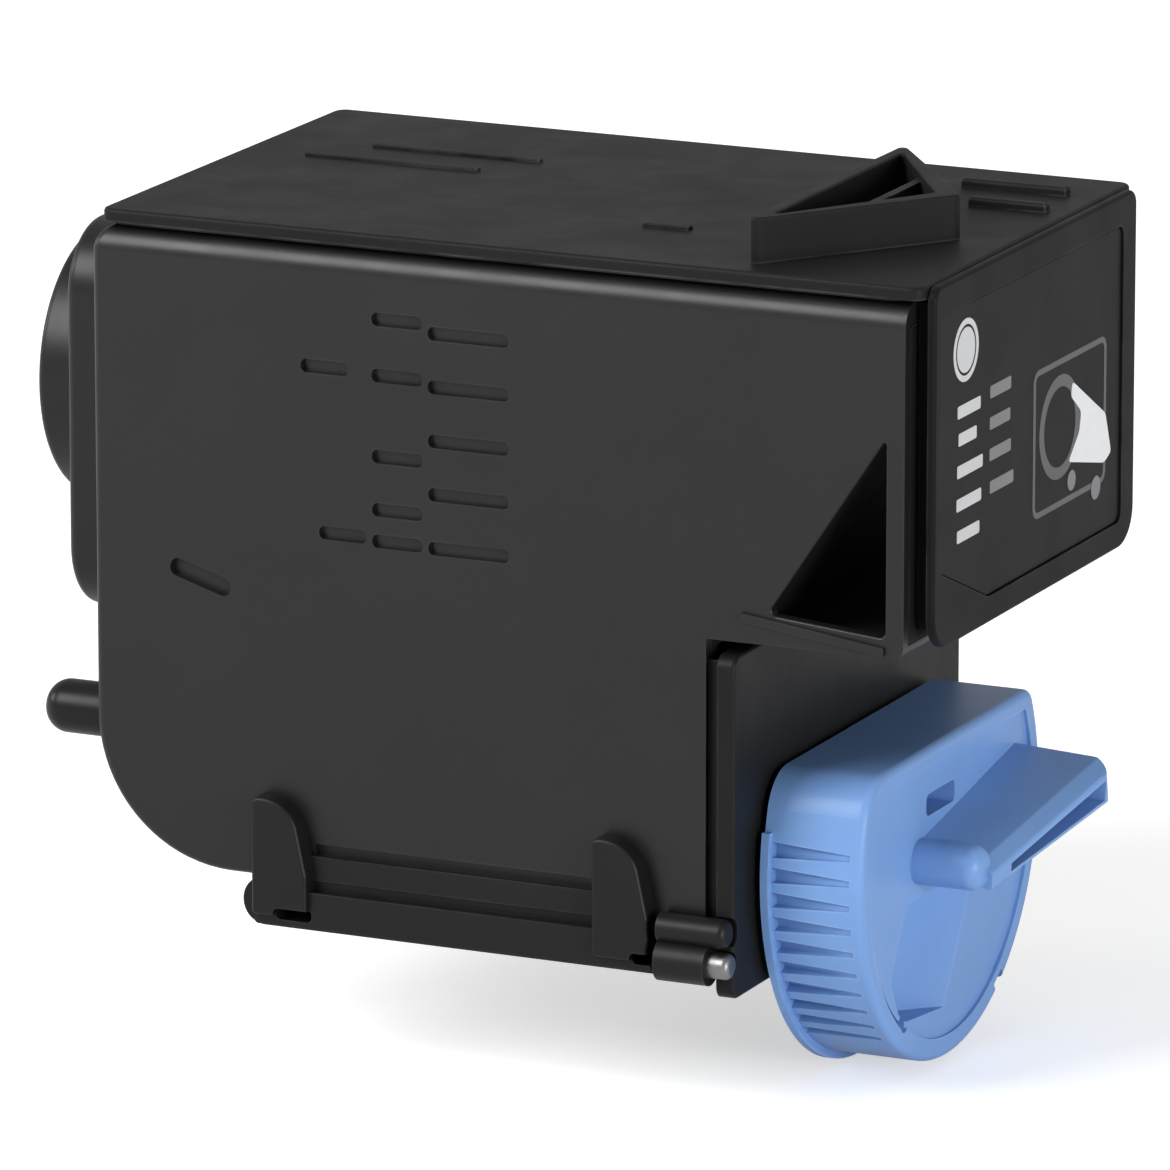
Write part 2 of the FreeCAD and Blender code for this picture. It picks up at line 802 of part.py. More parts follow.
def knob_face_cuts():
    """What is cut into the knob's face: dish, ring groove, slot and scooped finger pocket."""
    dish = rod(dish_radius, knob_face - dish_depth, knob_face + cut)
    dish = dish.common(block(-far, far, -far, far, -far, knob_flat - 2 * knob_edge))
    ring = rod(dish_radius + ring_width, knob_face - ring_depth, knob_face + cut)
    ring = ring.cut(rod(dish_radius, 0, far))
    lower = block(-far, far, -far, far, -far, 0)
    ring = ring.common(turned(lower, ring_start - 180)).common(turned(lower, ring_end - 360))
    angle = math.radians(ring_end)
    dot = rod(1.2 * ring_width, knob_face - 3 * ring_depth, knob_face + cut,
              dish_radius * math.cos(angle), dish_radius * math.sin(angle))
    slot = slab_x(rectangle(-slot_length / 2, slot_length / 2, -slot_height / 2,
                            slot_height / 2, 0.3 * slot_height),
                  knob_face - slot_depth, knob_face + cut)
    slot = moved(slot, 0, *slot_place)

    # The scoop is a wide round hollow that is deep at the pocket's near edge.
    region = slab_x(list(pocket_region), knob_face - knob_web, knob_face + cut)
    scoop = Part.makeCylinder(scoop_radius, far, vec(0, 0, -far / 2), vec(0, 0, 1))
    scoop.rotate(vec(0, 0, 0), vec(1, 0, 0), -scoop_slant)
    scoop = moved(scoop, knob_face - scoop_depth + scoop_radius, *scoop_place)
    return [dish, ring, dot, slot, region.common(scoop)]


def wing_points(along):
    """The wing's ridge, brow and chin at a distance from the nose."""
    share = along / wing_length
    return [(u0 + (u1 - u0) * share, v0 + (v1 - v0) * share)
            for (u0, v0), (u1, v1) in zip(wing_nose, wing_far)]


def wing_section(along):
    ridge, brow, chin = [(knob_face + u, v) for u, v in wing_points(along)]
    root = knob_face - wing_sink
    return outline([(root, wing_top, 0), (*ridge, wing_round), (*brow, wing_round),
                    (*chin, wing_round), (root, wing_under, 0)], lambda p: vec(p.x, along, p.y))


def core_section(along):
    """The core's outline, one skin inside the wing's and open on the outer side."""
    brow, chin = wing_points(along)[1:]
    deep = knob_face + chin[0] - core_depth
    open_side = knob_face + brow[0] + cut
    return outline([(deep, brow[1] - 1.5 * wing_skin, 0.4), (open_side, brow[1] - wing_skin, 0),
                    (open_side, chin[1] + wing_skin, 0), (deep, chin[1] + 1.5 * wing_skin, 0.4)],
                   lambda p: vec(p.x, along, p.y))


def knob_wing():
    """The grip wing, flaring outwards from the round nose to its far end."""
    blade = Part.makeLoft([wing_section(0), wing_section(wing_length)], True, True)
    root = knob_face - wing_sink
    plan = slab_z([(root, -cut, 0), (knob_face + wing_nose[1][0] + wing_margin, -cut, 0),
                   (knob_face + wing_far[1][0] + wing_margin, wing_length, wing_corner),
                   (root, wing_length, 0)], -far, far)
    tip = knob_face + nose_reach
    nose = rod(nose_radius, root, tip, 0, -nose_drop)
    nose = rounded(nose, nose_round, lambda p: near(p.x, tip))
    core = Part.makeLoft([core_section(core_start), core_section(core_end)], True, True)
    wing = blade.common(plan).fuse(nose).cut(core)
    wing = moved(turned(wing, wing_tilt), 0, *wing_start)
    return wing.common(rod(knob_radius - knob_edge, 0, far))


def grip_groove():
    """One grip groove: a wedge, wide and deep at the flange and fading towards the face."""
    ends = ((knob_back + knob_flange_thick, grip_wide, grip_deep),
            (knob_face - grip_end_gap, grip_narrow, grip_shallow))
    wires = []
    for x, width, depth in ends:
        corners = [(-width / 2, -depth), (width / 2, -depth), (width / 2, 2.0), (-width / 2, 2.0)]
        points = [vec(x, knob_radius + up, side) for side, up in corners]
        wires.append(Part.makePolygon(points + points[:1]))
    return Part.makeLoft(wires, True, True)


def make_knob():
    """The blue knob with its wing, grip grooves and the shaft that reaches the pinion."""
    shape = knob_body()
    for tool in knob_face_cuts():
        shape = shape.cut(tool)
    shape = shape.fuse(knob_wing())
    groove = grip_groove()
    for i in range(grip_grooves):
        shape = shape.cut(turned(groove, grip_start + grip_pitch * i))
    notch = block(knob_face - 0.6 * knob_web, knob_face + cut, knob_radius - rim_notch_depth,
                  knob_radius + cut, -rim_notch_width / 2, rim_notch_width / 2)
    shape = shape.cut(turned(notch, rim_notch_angle))
    pinion_end = pinion_x + pinion_width
    shaft = rod(knob_shaft, pinion_end, knob_back + knob_shaft)
    shaft = shaft.fuse(rod(pinion_bore, pinion_x, pinion_end))
    shape = shape.fuse(shaft).fuse(rod(knob_hub, knob_back, knob_face - 0.8 * knob_web))
    shape = shape.cut(rod(hold_shank, pinion_x - cut, pinion_x + hold_length + cut))
    return moved(shape, 0, 0, knob_z).removeSplitter()


def make_pinion():
    """The shutter pinion on the knob's shaft, one tooth pointing down into the rack."""
    gear = involute_gear(pinion_teeth, rack_module, pinion_width)
    gear = gear.cut(rod(pinion_bore, -cut, pinion_width + cut))
    return moved(gear, pinion_x, 0, knob_z)


def make_pinion_screw():
    """The screw that holds the pinion on the knob's shaft, put in from the gear space."""
    fastener = facing_rear(screw(hold_head, hold_thick, hold_shank, hold_length))
    return moved(fastener, pinion_x, 0, knob_z)


def arm_x(i):
    return arm_places[i] - frame_half_length


def side_skirt(side):
    """One side of the outlet frame: a ledge with a groove over it, and two hooked arms."""
    def band(corners, proud):
        face = side * half_width
        return slab_y(corners, min(face, face + side * proud), max(face, face + side * proud))

    x0 = arm_x(0)
    x1 = arm_x(1) + arm_width
    ledge = band(rectangle(x0, x1, skirt_low_z, skirt_ledge, skirt_edge), skirt_low)
    upright = band(rectangle(x0, x1, skirt_high_z, skirt_ledge, 0), skirt_high)
    upright = upright.fuse(band(rectangle(x0 + arm_width / 2, x1 - arm_width / 2,
                                          skirt_ledge - cut, skirt_top, 0), skirt_high))
    groove = band(rectangle(x0 + arm_width, x1 - arm_width, skirt_ledge - skirt_groove,
                            skirt_ledge, 0), far)
    keep = band(rectangle(x0, x1, 0, skirt_top, 0), skirt_web)
    skirt = ledge.fuse(upright).cut(groove.cut(keep))
    for i in range(len(arm_places)):
        x = arm_x(i)
        arm = band([(x, arm_low, skirt_edge), (x + arm_width, arm_low, skirt_edge),
                    (x + arm_width, hopper_floor + arm_heel, arm_heel),
                    (x + arm_crown * arm_width, arm_top, arm_sweep), (x, arm_top, arm_tip)],
                   arm_thick)
        outer = half_width + arm_thick
        skirt = skirt.fuse(rounded(arm, arm_edge, lambda p: near(abs(p.y), outer)))
    return skirt


def make_frame():
    """The outlet frame: a shallow tray with skirts and hooked arms on the hopper's sides."""
    outer = slab_y([(-frame_half_length, 0, frame_nose), (frame_front, 0, frame_edge),
                    (frame_front, hopper_floor, 0),
                    (-frame_half_length, hopper_floor, frame_nose)],
                   -half_width, half_width)
    pocket = block(-frame_half_length + frame_wall, frame_front - frame_wall,
                   -half_width + frame_side, half_width - frame_side,
                   frame_floor, hopper_floor + cut)
    frame = outer.cut(pocket)
    frame = frame.cut(block(outlet_x0, outlet_x1, -outlet_width / 2, outlet_width / 2,
                            -cut, frame_floor + cut))
    frame = frame.fuse(side_skirt(-1)).fuse(side_skirt(1))
    length, height = drain_size
    for place in drain_places:
        x = place - frame_half_length
        slot = slab_y(rectangle(x - length / 2, x + length / 2, drain_low,
                                drain_low + height, frame_edge), -far, far)
        frame = frame.cut(slot)
    boss_end = plate_face - boss_shy
    boss = rod(boss_radius, frame_front - 2 * stud_seat, boss_end, stud_y, boss_z)
    boss = rounded(boss, dome * boss_radius, lambda p: near(p.x, boss_end))
    boss = boss.cut(block(-far, lower_front, -half_width, far, hopper_floor, far))
    collar = rod(stud_radius + collar_wall, frame_front - 2 * stud_seat,
                 frame_front + collar_reach, stud_y, stud_z)
    frame = frame.fuse(boss).fuse(collar)
    return frame.cut(rod(stud_radius, frame_front - stud_seat, far, stud_y, stud_z)
                     ).removeSplitter()


def make_stud():
    """A bright steel guide stud with a domed end, pressed into the frame's collar."""
    end = plate_face + stud_proud
    stud = rod(stud_radius, frame_front - stud_seat, end, stud_y, stud_z)
    return rounded(stud, dome * stud_radius, lambda p: near(p.x, end))


def make_shutter():
    """The sliding shutter: a plate with its own slot, and a rack at the knob end."""
    plate = slab_z(rectangle(-frame_half_length + frame_wall + shutter_gap,
                             frame_front - frame_wall - shutter_gap, shutter_near,
                             outlet_width / 2 + shutter_travel + shutter_margin,
                             shutter_corner), shutter_low, shutter_high)
    slot_near = shutter_travel - outlet_width / 2
    plate = plate.cut(block(outlet_x0, outlet_x1, slot_near, slot_near + outlet_width,
                            shutter_low - cut, shutter_high + cut))
    step = math.pi * rack_module
    tip = rack_line + rack_addendum * rack_module
    root = rack_line - 1.25 * rack_module
    rack_x0 = pinion_x + shutter_gap
    rack_x1 = pinion_x + pinion_width - shutter_gap
    gaps = range(-2, 6)
    plate = plate.fuse(block(rack_x0, rack_x1, (gaps[0] - 0.5) * step, (gaps[-1] + 0.5) * step,
                             shutter_low, tip))
    slant = math.tan(math.radians(20))
    half_line = step / 4 + backlash / 2
    top = half_line + (tip - rack_line) * slant
    low = half_line - (rack_line - root) * slant
    for i in gaps:
        middle = i * step
        gap = slab_x([(middle - low, root, 0), (middle + low, root, 0),
                      (middle + top, tip, 0), (middle + top, tip + cut, 0),
                      (middle - top, tip + cut, 0), (middle - top, tip, 0)],
                     rack_x0 - 3 * shutter_gap, rack_x1 + shutter_gap)
        plate = plate.cut(gap)
    return plate.removeSplitter()


def make_seal():
    """The foam seal round the outlet, bonded to the hopper's floor."""
    z0 = shutter_high + shutter_gap
    y = outlet_width / 2
    ring = slab_z(rectangle(outlet_x0 - seal_margin + 1.0, outlet_x1 + seal_margin,
                            -y - seal_margin, y + seal_margin, seal_corner), z0, hopper_floor)
    return ring.cut(block(outlet_x0, outlet_x1, -y, y, z0 - cut, hopper_floor + cut))


def make_cover():
    """The gear cover: a shallow housing with a deep round drum for the drive coupling."""
    x_out = hopper_rear - cover_depth
    housing = slab_x(rectangle(-cover_half, cover_half, cover_low, cover_high, cover_corner),
                     x_out, hopper_rear)
    housing = rounded(housing, cover_edge, lambda p: near(p.x, x_out))
    drum = rod(drum_radius, drum_end, x_out + cut, 0, drive_z)
    drum = rounded(drum, drum_edge, lambda p: near(p.x, drum_end))
    cover = housing.fuse(drum)
    ear_face = hopper_rear - ear_thick
    for y, z in cover_screw_places():
        root = y - math.copysign(ear_reach + ear_radius, y)
        tab = block(ear_face, hopper_rear, min(y, root), max(y, root),
                    z - ear_radius, z + ear_radius)
        cover = cover.fuse(rod(ear_radius, ear_face, hopper_rear, y, z)).fuse(tab)
    inner = slab_x(rectangle(-cover_half + cover_wall, cover_half - cover_wall,
                             cover_low + cover_wall, cover_high - cover_wall,
                             cover_corner - cover_wall), x_out + cover_wall, hopper_rear + cut)
    cup = coupling_radius + gear_gap
    cup_floor = drum_end + coupling_gap + coupling_depth + coupling_gap
    hollow = rod(drum_radius - cover_wall, drum_end + cover_wall, x_out + cover_wall + cut,
                 0, drive_z)
    hollow = hollow.cut(rod(cup + cover_wall, drum_end, cup_floor + cover_wall, 0, drive_z))
    cover = cover.cut(inner).cut(hollow)
    cover = cover.cut(rod(cup, drum_end - cut, cup_floor, 0, drive_z))
    cover = cover.cut(rod(coupling_neck + shaft_play, drum_end, cup_floor + 2 * cover_wall,
                          0, drive_z))
    for y, z in cover_screw_places():
        cover = cover.cut(rod(screw_shank + screw_gap, ear_face - cut, hopper_rear + cut, y, z))
    return cover.removeSplitter()


def make_coupling():
    """The drive coupling: a dog cup the machine turns, a neck that runs in the drum, a shaft."""
    face = drum_end + coupling_gap
    seat = face + coupling_depth
    floor = seat - coupling_floor
    bowl = coupling_radius - coupling_rim
    head = rod(coupling_radius, face, seat).cut(rod(bowl, face - cut, floor))
    inner, outer = dog_half
    dog = slab_x([(dog_inner, -inner, 0.4), (bowl + 0.5 * coupling_rim, -outer, 0),
                  (bowl + 0.5 * coupling_rim, outer, 0), (dog_inner, inner, 0.4)],
                 face + gear_gap, floor + cut)
    for i in range(jaws):
        head = head.fuse(turned(dog, 360 * i / jaws))
    head = head.fuse(rod(1.1 * dog_inner, face + gear_gap, floor + cut))
    neck_end = gear_x - coupling_gap
    body = head.fuse(rod(coupling_neck, seat, neck_end))
    body = body.fuse(rod(drive_shaft, neck_end, hopper_rear + 0.7 * cut))
    return moved(body, 0, 0, drive_z).removeSplitter()


def make_drive_pinion():
    """The pinion on the coupling's shaft that turns the agitator gear."""
    gear = involute_gear(drive_teeth, gear_module, gear_width)
    gear = gear.cut(rod(drive_shaft, -cut, gear_width + cut))
    return moved(gear, gear_x, 0, drive_z)


def make_agitator_gear():
    """The agitator gear, lightened between hub and rim, with a gap facing the pinion."""
    gear = involute_gear(agitator_teeth, gear_module, gear_width, half_tooth=True)
    pitch = agitator_teeth * gear_module / 2
    hub = agitator_shaft + boss_wall
    recess = gear_width / 4
    gear = gear.cut(rod(pitch - 3.2 * gear_module, -cut, recess).cut(rod(hub, -far, far)))
    gear = gear.cut(rod(agitator_shaft, -cut, gear_width + cut))
    return moved(gear, gear_x, 0, agitator_z)


def make_agitator_shaft():
    """The steel shaft through the hopper, from the gear to the blind front bush."""
    shaft = rod(agitator_shaft, gear_x - 0.5 * gear_gap, bulkhead_x - cut, 0, agitator_z)
    return shaft.makeChamfer(0.4, [e for e in shaft.Edges if isinstance(e.Curve, Part.Circle)])


def make_paddle():
    """The agitator's paddle: a hub tube with spokes, the bar that holds the film, and a tail."""
    hub_radius = agitator_shaft + hub_wall
    hub = rod(hub_radius, agitator_rear, agitator_front)
    bar = block(agitator_rear, agitator_front, paddle_radius - paddle_bar, paddle_radius,
                0, paddle_thick)
    first = agitator_rear + 0.5 * spoke_width
    pitch = (agitator_front - agitator_rear - 2 * spoke_width) / (spokes - 1)
    for i in range(spokes):
        x = first + pitch * i
        bar = bar.fuse(block(x, x + spoke_width, 0, paddle_radius - cut, 0, paddle_thick))
    root = -hub_radius + cut
    half = paddle_thick / 2
    tail = slab_x([(root, -half, 0), (root, half, 0), (-tail_radius, 0.6 * half, 0),
                   (-tail_radius, -0.6 * half, 0)], agitator_rear, agitator_front)
    paddle = hub.fuse(bar).fuse(tail).cut(rod(agitator_shaft, -far, far))
    return moved(paddle, 0, 0, agitator_z).removeSplitter()


def make_film():
    """The flexible film that sweeps the toner to the outlet, slit into tongues."""
    film = block(agitator_rear + cut, agitator_front - cut, paddle_radius - sheet_lap,
                 sheet_radius, paddle_thick, paddle_thick + sheet_thick)
    pitch = (agitator_front - agitator_rear) / (slits + 1)
    for i in range(1, slits + 1):
        x = agitator_rear + pitch * i
        film = film.cut(block(x - slit_width / 2, x + slit_width / 2,
                              paddle_radius + sheet_lap, far, 0, far))
    return moved(film, 0, 0, agitator_z)


def make_pin():
    """The rear locating pin: a round-nosed pin with a stem pressed into the hopper's wall."""
    tip = hopper_rear - pin_reach
    pin = rod(pin_radius, tip, hopper_rear, pin_y, pin_z)
    pin = rounded(pin, pin_nose, lambda p: near(p.x, tip))
    return pin.fuse(rod(pin_radius - pin_stem, hopper_rear, hopper_rear + wall, pin_y, pin_z))


def make_plug():
    """The filling plug pushed into the far wall after the toner has gone in."""
    face = half_width + plug_proud
    flange = across(plug_radius + plug_lip, half_width, face, plug_x, plug_z)
    flange = rounded(flange, plug_edge, lambda p: near(p.y, face))
    end = inside - plug_depth
    plug = flange.fuse(across(plug_radius, end, half_width, plug_x, plug_z))
    plug = plug.cut(across(plug_radius - plug_wall, end - cut, half_width - cut, plug_x, plug_z))
    return plug.cut(across(plug_radius - 2 * plug_wall, face - plug_dimple, face + cut,
                           plug_x, plug_z))


def make_shaft_seal():
    """A felt ring round the agitator shaft inside the rear bearing boss."""
    x1 = hopper_rear + wall + rear_boss
    ring = rod(bush_radius, x1 - felt_thick, x1, 0, agitator_z)
    return ring.cut(rod(agitator_shaft + shaft_play, -far, far, 0, agitator_z))


def make_rear_bush():
    """The rear bush of the agitator shaft, flanged on the gears' side."""
    end = hopper_rear + wall + rear_boss - felt_thick
    bush = rod(bush_radius, hopper_rear, end, 0, agitator_z)
    flange = rod(bush_radius + bush_flange, hopper_rear - bush_flange, hopper_rear, 0, agitator_z)
    bore = rod(agitator_shaft + shaft_play, -far, far, 0, agitator_z)
    return bush.fuse(flange).cut(bore).removeSplitter()


def make_front_bush():
    """The blind front bush, which keeps toner off the gear space."""
    end = bulkhead_x + bush_reach - front_boss - bush_lip
    bush = rod(bush_radius, bulkhead_x - bush_reach, end, 0, agitator_z)
    return bush.cut(rod(agitator_shaft + shaft_play, -far, bulkhead_x - bush_skin,
                        0, agitator_z))


def make_knob_bush():
    """The white bush in the end plate that the knob's shaft turns in."""
    bush = rod(knob_bush_radius, lower_front, plate_face + bush_lip, 0, knob_z)
    return bush.cut(rod(knob_shaft + shaft_play, -far, far, 0, knob_z))


def make_cover_screws():
    """The four screws through the gear cover's ears."""
    one = facing_rear(screw(screw_head, head_share * screw_head, screw_shank,
                            ear_thick + cover_screw_bite - screw_spare))
    return Part.makeCompound([moved(one, hopper_rear - ear_thick, y, z)
                              for y, z in cover_screw_places()])


def make_plate_screws():
    """The two screws that hold the end plate."""
    seat = plate_screw_seat()
    one = screw(screw_head, head_share * screw_head, screw_shank,
                seat - bulkhead_x - wall - cut - screw_spare)
    return Part.makeCompound([moved(one, seat, y, knob_z) for y in plate_screw_places()])


PARTS = {
    "hopper_body": make_hopper,
    "top_cover": make_lid,
    "front_end_plate": make_end_plate,
    "front_panel": make_panel,
    "front_label": make_label,
    "knob": make_knob,
    "shutter_pinion": make_pinion,
    "pinion_screw": make_pinion_screw,
    "knob_bush": make_knob_bush,
    "end_plate_screws": make_plate_screws,
    "outlet_frame": make_frame,
    "guide_stud": make_stud,
    "shutter_plate": make_shutter,
    "outlet_seal": make_seal,
    "rear_gear_cover": make_cover,
    "cover_screws": make_cover_screws,
    "drive_coupling": make_coupling,
    "drive_pinion": make_drive_pinion,
    "agitator_gear": make_agitator_gear,
    "agitator_shaft": make_agitator_shaft,
    "agitator_paddle": make_paddle,
    "agitator_film": make_film,
    "rear_bush": make_rear_bush,
    "front_bush": make_front_bush,
    "shaft_seal": make_shaft_seal,
    "locating_pin": make_pin,
    "fill_plug": make_plug,
}

os.makedirs("parts", exist_ok=True)
for name, make in PARTS.items():
    shape = make()
    shape.exportStep("parts/" + name + ".step")
    print(name, "solids", len(shape.Solids), "valid", shape.isValid(), "volume", round(shape.Volume))
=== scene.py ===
import math

import bpy
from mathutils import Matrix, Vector


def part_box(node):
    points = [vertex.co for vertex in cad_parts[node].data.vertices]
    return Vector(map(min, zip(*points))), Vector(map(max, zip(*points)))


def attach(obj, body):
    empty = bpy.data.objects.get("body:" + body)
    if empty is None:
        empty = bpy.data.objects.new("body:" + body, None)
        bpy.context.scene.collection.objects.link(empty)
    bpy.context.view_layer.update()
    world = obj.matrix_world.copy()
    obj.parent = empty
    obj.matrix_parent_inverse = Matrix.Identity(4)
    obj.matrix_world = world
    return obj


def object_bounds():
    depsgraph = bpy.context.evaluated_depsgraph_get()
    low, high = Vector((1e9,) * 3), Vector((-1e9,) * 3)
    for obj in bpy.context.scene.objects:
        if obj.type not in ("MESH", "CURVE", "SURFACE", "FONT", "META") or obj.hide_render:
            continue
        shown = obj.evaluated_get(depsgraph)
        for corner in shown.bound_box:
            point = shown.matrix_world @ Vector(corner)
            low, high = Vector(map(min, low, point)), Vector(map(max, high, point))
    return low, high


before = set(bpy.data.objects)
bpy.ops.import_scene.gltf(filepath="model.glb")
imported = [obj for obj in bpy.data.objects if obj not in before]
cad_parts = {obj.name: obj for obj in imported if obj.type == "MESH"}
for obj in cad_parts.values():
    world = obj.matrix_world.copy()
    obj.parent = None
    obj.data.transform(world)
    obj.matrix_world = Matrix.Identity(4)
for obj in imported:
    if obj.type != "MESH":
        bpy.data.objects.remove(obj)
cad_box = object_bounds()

mm = 0.001

# The camera stands in front of the knob end, a little above the lid, so that the marked side,
# the lid and the label panel all show. A long lens keeps the edges nearly parallel.
camera_place = Vector((831.284, -1801.804, 552.781)) * mm
camera_target = Vector((-4.889, 10.790, 53.438)) * mm
camera_lens = 343.79
film_width = 36.0
camera_data = bpy.data.cameras.new("camera")
camera_data.lens = camera_lens
camera_data.sensor_width = film_width
camera = bpy.data.objects.new("camera", camera_data)
camera.location = camera_place
camera.rotation_euler = (camera_target - camera_place).to_track_quat("-Z", "Y").to_euler()
bpy.context.scene.collection.objects.link(camera)
bpy.context.scene.camera = camera


# The hopper is one black moulding of impact-resistant polystyrene: the toner space, the gear
# space behind the knob and the overhanging head. Its outside is finely spark-textured. Its
# corners are painted a little paler, partly as wear where cartridges are slid in and out and
# partly as a painted highlight, and its gaps and recesses are darkened with painted shade.
hopper_colour = (0.0098, 0.0098, 0.0101, 1)
# Paler colour painted on edges: partly wear, partly a painted highlight.
edge_wear_and_highlight_black = (0.050, 0.050, 0.052, 1)
melt_scale = 28.0
smudge_scale = 75.0
edge_wear_and_highlight_reach = 0.7 * mm
# Reach of the painted shade in gaps and recesses.
painted_gap_shade_reach = 3.0 * mm


def add_node(tree, kind, sockets=None, **settings):
    made = tree.nodes.new(kind)
    for name, value in settings.items():
        setattr(made, name, value)
    for key, value in (sockets or {}).items():
        if isinstance(value, bpy.types.NodeSocket):
            tree.links.new(value, made.inputs[key])
        else:
            made.inputs[key].default_value = value
    return made


def new_group(name, takes, gives):
    tree = bpy.data.node_groups.new(name, "ShaderNodeTree")
    for label, kind, value in takes:
        socket = tree.interface.new_socket(label, in_out="INPUT", socket_type=kind)
        socket.default_value = value
    for label, kind in gives:
        tree.interface.new_socket(label, in_out="OUTPUT", socket_type=kind)
    return tree, tree.nodes.new("NodeGroupInput").outputs, tree.nodes.new("NodeGroupOutput").inputs


# Moulded surface: slow shade changes from the melt, a fine grain, hand smudges that alter the
# gloss, edges painted paler where a wide bevel's normal leaves the face's own, partly as wear
# and partly as a painted highlight, and painted shade that darkens narrow gaps and recesses.
moulded, taken, given = new_group(
    "moulded_surface",
    [("Colour", "NodeSocketColor", (0.02, 0.02, 0.02, 1)),
     ("Wear And Highlight Colour", "NodeSocketColor", edge_wear_and_highlight_black),
     ("Roughness", "NodeSocketFloat", 0.5), ("Grain Size", "NodeSocketFloat", 0.6),
     ("Grain Depth", "NodeSocketFloat", 0.02), ("Wear And Highlight", "NodeSocketFloat", 0.5),
     ("Mottle", "NodeSocketFloat", 0.1), ("Gap Shade", "NodeSocketFloat", 0.5)],
    [("Colour", "NodeSocketColor"), ("Roughness", "NodeSocketFloat"),
     ("Normal", "NodeSocketVector")])
place = add_node(moulded, "ShaderNodeTexCoord").outputs["Object"]
slow = add_node(moulded, "ShaderNodeTexNoise",
                {"Vector": place, "Scale": melt_scale, "Detail": 5.0, "Roughness": 0.6})
smudge = add_node(moulded, "ShaderNodeTexNoise",
                  {"Vector": place, "Scale": smudge_scale, "Detail": 3.0, "Distortion": 0.6})
grain_scale = add_node(moulded, "ShaderNodeMath", {0: 1 / mm, 1: taken["Grain Size"]},
                       operation="DIVIDE")
grain = add_node(moulded, "ShaderNodeTexNoise",
                 {"Vector": place, "Scale": grain_scale.outputs[0], "Detail": 2.0,
                  "Roughness": 0.55})
shade = add_node(moulded, "ShaderNodeMapRange",
                 {"Value": slow.outputs["Fac"], "From Min": 0.3, "From Max": 0.7,
                  "To Min": -1.0, "To Max": 1.0})
amount = add_node(moulded, "ShaderNodeMath", {0: shade.outputs[0], 1: taken["Mottle"]},
                  operation="MULTIPLY")
level = add_node(moulded, "ShaderNodeMath", {0: amount.outputs[0], 1: 1.0}, operation="ADD")
varied = add_node(moulded, "ShaderNodeVectorMath",
                  {0: taken["Colour"], "Scale": level.outputs[0]}, operation="SCALE")
# Partly painted highlight: where the wide bevel's normal leaves the face's own, the edge is
# painted paler, partly as wear.
wide = add_node(moulded, "ShaderNodeBevel", {"Radius": edge_wear_and_highlight_reach}, samples=6)
face = add_node(moulded, "ShaderNodeNewGeometry")
agree = add_node(moulded, "ShaderNodeVectorMath",
                 {0: wide.outputs["Normal"], 1: face.outputs["Normal"]}, operation="DOT_PRODUCT")
edge = add_node(moulded, "ShaderNodeMapRange",
                {"Value": agree.outputs["Value"], "From Min": 0.99, "From Max": 0.86})
patch = add_node(moulded, "ShaderNodeMapRange",
                 {"Value": smudge.outputs["Fac"], "From Min": 0.35, "From Max": 0.62})
wear_and_highlight_mask = add_node(moulded, "ShaderNodeMath", {0: edge.outputs[0], 1: patch.outputs[0]},
                operation="MULTIPLY")
wear_and_highlight_mask = add_node(moulded, "ShaderNodeMath", {0: wear_and_highlight_mask.outputs[0], 1: taken["Wear And Highlight"]},
                operation="MULTIPLY", use_clamp=True)
painted = add_node(moulded, "ShaderNodeMix",
                   {0: wear_and_highlight_mask.outputs[0], 6: varied.outputs[0], 7: taken["Wear And Highlight Colour"]},
                   data_type="RGBA")
gloss = add_node(moulded, "ShaderNodeMapRange",
                 {"Value": smudge.outputs["Fac"], "From Min": 0.3, "From Max": 0.7,
                  "To Min": 0.035, "To Max": -0.045})
rough = add_node(moulded, "ShaderNodeMath", {0: gloss.outputs[0], 1: taken["Roughness"]},
                 operation="ADD", use_clamp=True)
depth = add_node(moulded, "ShaderNodeMath", {0: taken["Grain Depth"], 1: mm},
                 operation="MULTIPLY")
relief = add_node(moulded, "ShaderNodeBump",
                  {"Strength": 0.5, "Distance": depth.outputs[0],
                   "Height": grain.outputs["Fac"]})
# Painted shade: ambient occlusion darkens the colour in narrow gaps and recesses, where shade
# falls.
gap_occlusion = add_node(moulded, "ShaderNodeAmbientOcclusion", {"Distance": painted_gap_shade_reach}, samples=8)
darkest_gap_shade = add_node(moulded, "ShaderNodeMath", {0: 1.0, 1: taken["Gap Shade"]}, operation="SUBTRACT")
painted_gap_shade = add_node(moulded, "ShaderNodeMapRange",
                 {"Value": gap_occlusion.outputs["AO"], "From Min": 0.25, "From Max": 0.8,
                  "To Min": darkest_gap_shade.outputs[0], "To Max": 1.0})
gap_shaded_colour = add_node(moulded, "ShaderNodeVectorMath",
                  {0: painted.outputs[2], "Scale": painted_gap_shade.outputs[0]}, operation="SCALE")
moulded.links.new(gap_shaded_colour.outputs[0], given["Colour"])
moulded.links.new(rough.outputs[0], given["Roughness"])
moulded.links.new(relief.outputs["Normal"], given["Normal"])


